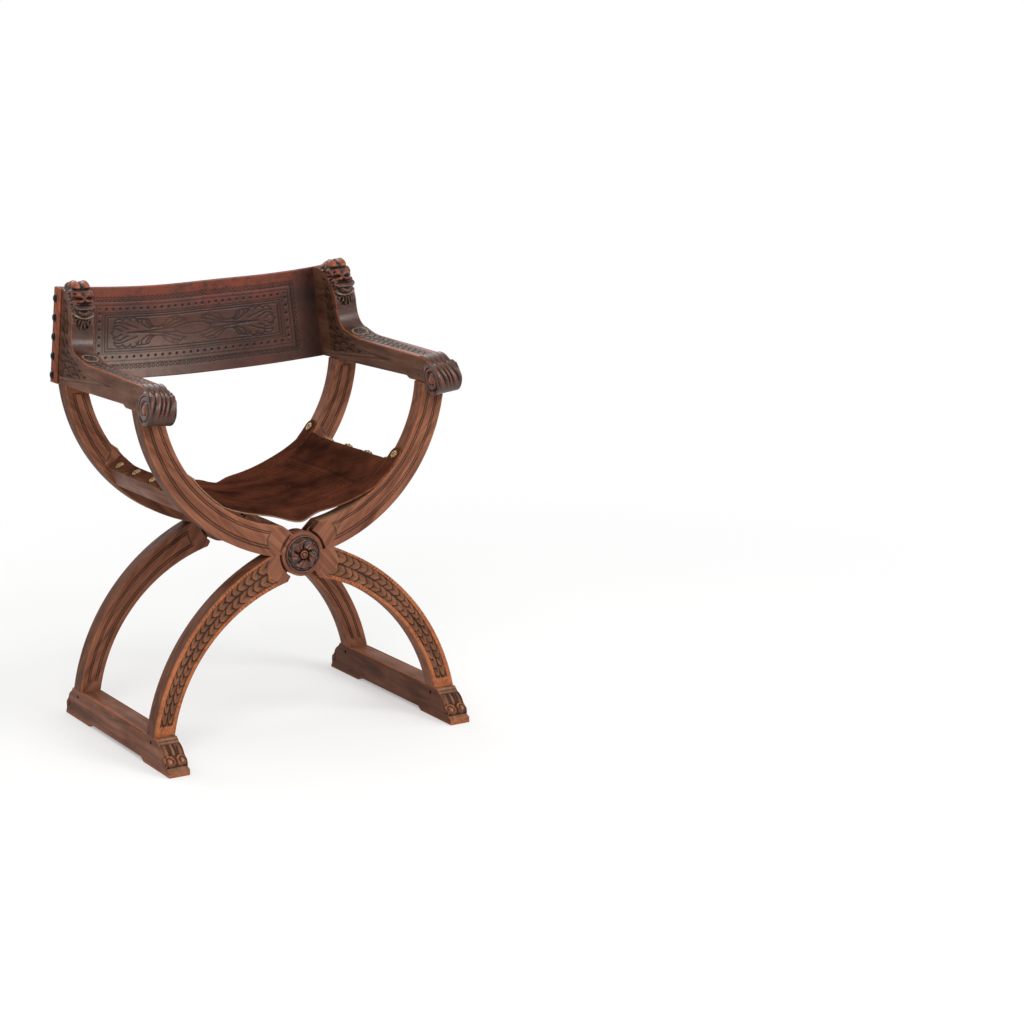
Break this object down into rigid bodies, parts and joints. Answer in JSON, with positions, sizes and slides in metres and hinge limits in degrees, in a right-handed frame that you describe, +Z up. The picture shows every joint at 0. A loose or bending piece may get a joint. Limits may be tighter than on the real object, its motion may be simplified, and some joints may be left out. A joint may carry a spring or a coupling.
{
  "type": "savonarola chair",
  "caption": "Folding X-frame armchair of carved walnut with curved crossed frames, scrolled arms, carved heads on the posts, and a sling seat and back of leather.",
  "frame": {"origin": "centre of the chair's bounding box, on the floor under the runners", "axes": "+X to the viewer's right, +Y towards the back of the chair, +Z up"},
  "size_m": [0.6512, 0.52, 0.8815],
  "materials": {
    "walnut": "carved, waxed, dark in the hollows and worn on the edges",
    "polished_walnut": "carved, redder and glossier from hands",
    "end_grain_walnut": "dark end grain, waxed",
    "seat_leather": "dark brown, tooled, worn",
    "back_leather": "dark brown with a reddish top edge, tooled, soft sheen",
    "black_iron": "blackened, domed",
    "brass": "antique, dull"
  },
  "bodies": {
    "left_half": {"left_arm": "polished_walnut", "front_left_member": "walnut", "rear_left_member": "walnut", "right_runner": "walnut", "left_seat_rail": "walnut", "left_arm_pegs": "end_grain_walnut", "right_runner_pegs": "end_grain_walnut", "left_rail_nails": "brass", "left_tab_nails": "brass", "left_back_nails": "black_iron", "front_pivot_pin": "end_grain_walnut", "rear_pivot_pin": "end_grain_walnut", "front_rosette": "walnut", "seat_leather": "seat_leather", "back_leather": "back_leather"},
    "right_half": {"right_arm": "polished_walnut", "front_right_member": "walnut", "rear_right_member": "walnut", "left_runner": "walnut", "right_seat_rail": "walnut", "right_arm_pegs": "end_grain_walnut", "left_runner_pegs": "end_grain_walnut", "right_rail_nails": "brass", "right_tab_nails": "brass", "right_back_nails": "black_iron"}
  },
  "joints": [
    {"name": "fold", "type": "hinge", "parent": "left_half", "child": "right_half", "pos_m": [0, 0, 0.372], "axis": [0, -1, 0], "range_deg": [0, 50], "deforming": ["seat_leather", "back_leather"]}
  ]
}
